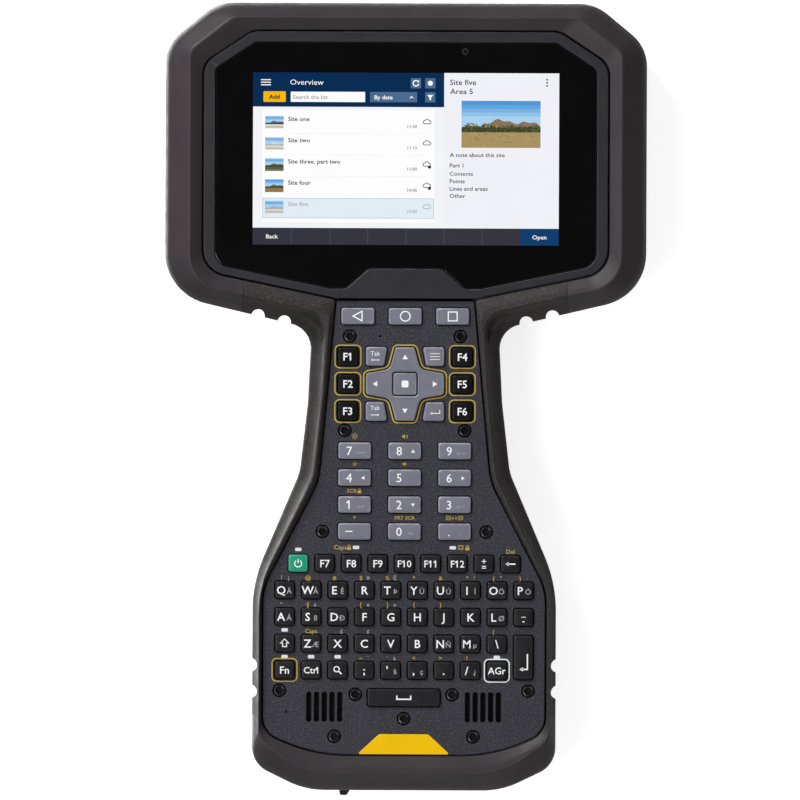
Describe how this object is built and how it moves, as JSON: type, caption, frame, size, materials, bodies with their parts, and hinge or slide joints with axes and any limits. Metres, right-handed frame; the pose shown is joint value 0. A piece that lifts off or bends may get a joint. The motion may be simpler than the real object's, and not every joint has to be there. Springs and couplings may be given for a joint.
{
  "type": "field data collector",
  "caption": "Rugged handheld survey controller: landscape touch screen above a waisted full keypad, rubber bumpers all round.",
  "frame": {"origin": "under the middle of the whole outline, stylus end included, on the plane that the back rests on", "axes": "+X to the user's right, +Y from the keypad to the head, +Z out of the screen"},
  "size_m": [0.1744, 0.2872, 0.038],
  "materials": {
    "housing_plastic": "fine moulded grain",
    "bumper_rubber": "smooth satin rubber",
    "grip_rubber": "coarse moulded grain",
    "bezel_plastic": "fine satin grain",
    "fascia_plastic": "speckled spark-eroded grain",
    "cover_glass": "polished black-backed glass",
    "display_panel": "lit panel",
    "foam_black": "closed-cell foam",
    "seal_silicone": "soft silicone",
    "black_steel": "black oxide",
    "plated_steel": "nickel plated",
    "insert_brass": "knurled brass",
    "yellow_plate": "satin printed plate",
    "keypad_silicone": "silicone sheet",
    "circuit_board": "green solder mask",
    "battery_wrap": "shrink wrap",
    "speaker_case": "black",
    "mesh_cloth": "acoustic mesh",
    "camera_window": "polished window",
    "lens_white": "clear light pipe",
    "antenna_ceramic": "ceramic patch",
    "latch_red": "satin",
    "stylus_plastic": "satin black",
    "key_green": "satin moulded key",
    "key_grey": "satin moulded key",
    "key_black": "satin moulded key"
  },
  "bodies": {
    "root": {"rear_housing": "housing_plastic", "housing_gasket": "seal_silicone", "front_chassis": "housing_plastic", "head_bumper": "bumper_rubber", "left_grip_frame": "grip_rubber", "right_grip_frame": "grip_rubber", "bottom_bumper": "bumper_rubber", "display_bezel": "bezel_plastic", "display_gasket": "foam_black", "touch_glass": "cover_glass", "lcd_module": "display_panel", "keypad_fascia": "fascia_plastic", "fascia_screws": "black_steel", "name_plate": "yellow_plate", "keypad_membrane": "keypad_silicone", "keypad_board": "circuit_board", "main_board": "circuit_board", "battery_pack": "battery_wrap", "speakers": "speaker_case", "speaker_meshes": "mesh_cloth", "microphones": "plated_steel", "front_camera": "speaker_case", "rear_camera": "camera_window", "indicator_lenses": "lens_white", "rear_screws": "black_steel", "mount_inserts": "insert_brass", "gnss_antenna": "antenna_ceramic", "usb_port": "plated_steel"},
    "power_key": {"power_key": "key_green"},
    "ok_key": {"ok_key": "key_grey"},
    "back_key": {"back_key": "key_grey"},
    "home_key": {"home_key": "key_grey"},
    "recent_key": {"recent_key": "key_grey"},
    "f1_key": {"f1_key": "key_black"},
    "f2_key": {"f2_key": "key_black"},
    "f3_key": {"f3_key": "key_black"},
    "f4_key": {"f4_key": "key_black"},
    "f5_key": {"f5_key": "key_black"},
    "f6_key": {"f6_key": "key_black"},
    "tab_back_key": {"tab_back_key": "key_grey"},
    "tab_next_key": {"tab_next_key": "key_grey"},
    "menu_key": {"menu_key": "key_grey"},
    "small_enter_key": {"small_enter_key": "key_grey"},
    "number_row_7": {"number_row_7": "key_grey"},
    "number_row_4": {"number_row_4": "key_grey"},
    "number_row_1": {"number_row_1": "key_grey"},
    "number_row_0": {"number_row_0": "key_grey"},
    "function_row": {"function_row": "key_black"},
    "q_row": {"q_row": "key_black"},
    "a_row": {"a_row": "key_black"},
    "shift_row": {"shift_row": "key_black"},
    "control_row": {"control_row": "key_black"},
    "enter_key": {"enter_key": "key_black"},
    "space_key": {"space_key": "key_black"},
    "dpad_pivot": {"dpad_pivot": "keypad_silicone"},
    "dpad": {"dpad": "key_grey"},
    "port_cover": {"port_cover": "bumper_rubber"},
    "battery_door": {"battery_door": "housing_plastic"},
    "battery_latch": {"battery_latch": "latch_red"},
    "stylus": {"stylus": "stylus_plastic"}
  },
  "joints": [
    {"name": "power_press", "type": "slide", "parent": "root", "child": "power_key", "axis": [0, 0, -1], "range_m": [0, 0.0007], "stiffness_N_per_m": 1500},
    {"name": "ok_press", "type": "slide", "parent": "root", "child": "ok_key", "axis": [0, 0, -1], "range_m": [0, 0.0007], "stiffness_N_per_m": 1500},
    {"name": "back_press", "type": "slide", "parent": "root", "child": "back_key", "axis": [0, 0, -1], "range_m": [0, 0.0007], "stiffness_N_per_m": 1500},
    {"name": "home_press", "type": "slide", "parent": "root", "child": "home_key", "axis": [0, 0, -1], "range_m": [0, 0.0007], "stiffness_N_per_m": 1500},
    {"name": "recent_press", "type": "slide", "parent": "root", "child": "recent_key", "axis": [0, 0, -1], "range_m": [0, 0.0007], "stiffness_N_per_m": 1500},
    {"name": "f1_press", "type": "slide", "parent": "root", "child": "f1_key", "axis": [0, 0, -1], "range_m": [0, 0.0007], "stiffness_N_per_m": 1500},
    {"name": "f2_press", "type": "slide", "parent": "root", "child": "f2_key", "axis": [0, 0, -1], "range_m": [0, 0.0007], "stiffness_N_per_m": 1500},
    {"name": "f3_press", "type": "slide", "parent": "root", "child": "f3_key", "axis": [0, 0, -1], "range_m": [0, 0.0007], "stiffness_N_per_m": 1500},
    {"name": "f4_press", "type": "slide", "parent": "root", "child": "f4_key", "axis": [0, 0, -1], "range_m": [0, 0.0007], "stiffness_N_per_m": 1500},
    {"name": "f5_press", "type": "slide", "parent": "root", "child": "f5_key", "axis": [0, 0, -1], "range_m": [0, 0.0007], "stiffness_N_per_m": 1500},
    {"name": "f6_press", "type": "slide", "parent": "root", "child": "f6_key", "axis": [0, 0, -1], "range_m": [0, 0.0007], "stiffness_N_per_m": 1500},
    {"name": "tab_back_press", "type": "slide", "parent": "root", "child": "tab_back_key", "axis": [0, 0, -1], "range_m": [0, 0.0007], "stiffness_N_per_m": 1500},
    {"name": "tab_next_press", "type": "slide", "parent": "root", "child": "tab_next_key", "axis": [0, 0, -1], "range_m": [0, 0.0007], "stiffness_N_per_m": 1500},
    {"name": "menu_press", "type": "slide", "parent": "root", "child": "menu_key", "axis": [0, 0, -1], "range_m": [0, 0.0007], "stiffness_N_per_m": 1500},
    {"name": "small_enter_press", "type": "slide", "parent": "root", "child": "small_enter_key", "axis": [0, 0, -1], "range_m": [0, 0.0007], "stiffness_N_per_m": 1500},
    {"name": "number_row_7_press", "type": "slide", "parent": "root", "child": "number_row_7", "axis": [0, 0, -1], "range_m": [0, 0.0007], "stiffness_N_per_m": 1500},
    {"name": "number_row_4_press", "type": "slide", "parent": "root", "child": "number_row_4", "axis": [0, 0, -1], "range_m": [0, 0.0007], "stiffness_N_per_m": 1500},
    {"name": "number_row_1_press", "type": "slide", "parent": "root", "child": "number_row_1", "axis": [0, 0, -1], "range_m": [0, 0.0007], "stiffness_N_per_m": 1500},
    {"name": "number_row_0_press", "type": "slide", "parent": "root", "child": "number_row_0", "axis": [0, 0, -1], "range_m": [0, 0.0007], "stiffness_N_per_m": 1500},
    {"name": "function_row_press", "type": "slide", "parent": "root", "child": "function_row", "axis": [0, 0, -1], "range_m": [0, 0.0007], "stiffness_N_per_m": 1500},
    {"name": "q_row_press", "type": "slide", "parent": "root", "child": "q_row", "axis": [0, 0, -1], "range_m": [0, 0.0007], "stiffness_N_per_m": 1500},
    {"name": "a_row_press", "type": "slide", "parent": "root", "child": "a_row", "axis": [0, 0, -1], "range_m": [0, 0.0007], "stiffness_N_per_m": 1500},
    {"name": "shift_row_press", "type": "slide", "parent": "root", "child": "shift_row", "axis": [0, 0, -1], "range_m": [0, 0.0007], "stiffness_N_per_m": 1500},
    {"name": "control_row_press", "type": "slide", "parent": "root", "child": "control_row", "axis": [0, 0, -1], "range_m": [0, 0.0007], "stiffness_N_per_m": 1500},
    {"name": "enter_press", "type": "slide", "parent": "root", "child": "enter_key", "axis": [0, 0, -1], "range_m": [0, 0.0007], "stiffness_N_per_m": 1500},
    {"name": "space_press", "type": "slide", "parent": "root", "child": "space_key", "axis": [0, 0, -1], "range_m": [0, 0.0007], "stiffness_N_per_m": 1500},
    {"name": "dpad_up_down", "type": "hinge", "parent": "root", "child": "dpad_pivot", "pos_m": [0, 0.0056, 0.0295], "axis": [1, 0, 0], "range_deg": [-1.5, 1.5], "stiffness_Nm_per_rad": 0.9},
    {"name": "dpad_left_right", "type": "hinge", "parent": "dpad_pivot", "child": "dpad", "pos_m": [0, 0.0056, 0.0295], "axis": [0, 1, 0], "range_deg": [-1.5, 1.5], "stiffness_Nm_per_rad": 0.9},
    {"name": "port_cover_swing", "type": "hinge", "parent": "root", "child": "port_cover", "pos_m": [0, -0.1404, 0.0102], "axis": [1, 0, 0], "range_deg": [0, 100]},
    {"name": "battery_door_swing", "type": "hinge", "parent": "root", "child": "battery_door", "pos_m": [0, 0.1169, 0.0041], "axis": [1, 0, 0], "range_deg": [0, 95]},
    {"name": "battery_latch_slide", "type": "slide", "parent": "battery_door", "child": "battery_latch", "axis": [0, 1, 0], "range_m": [0, 0.003]},
    {"name": "stylus_slide", "type": "slide", "parent": "root", "child": "stylus", "axis": [0, -1, 0], "range_m": [0, 0.1]}
  ]
}
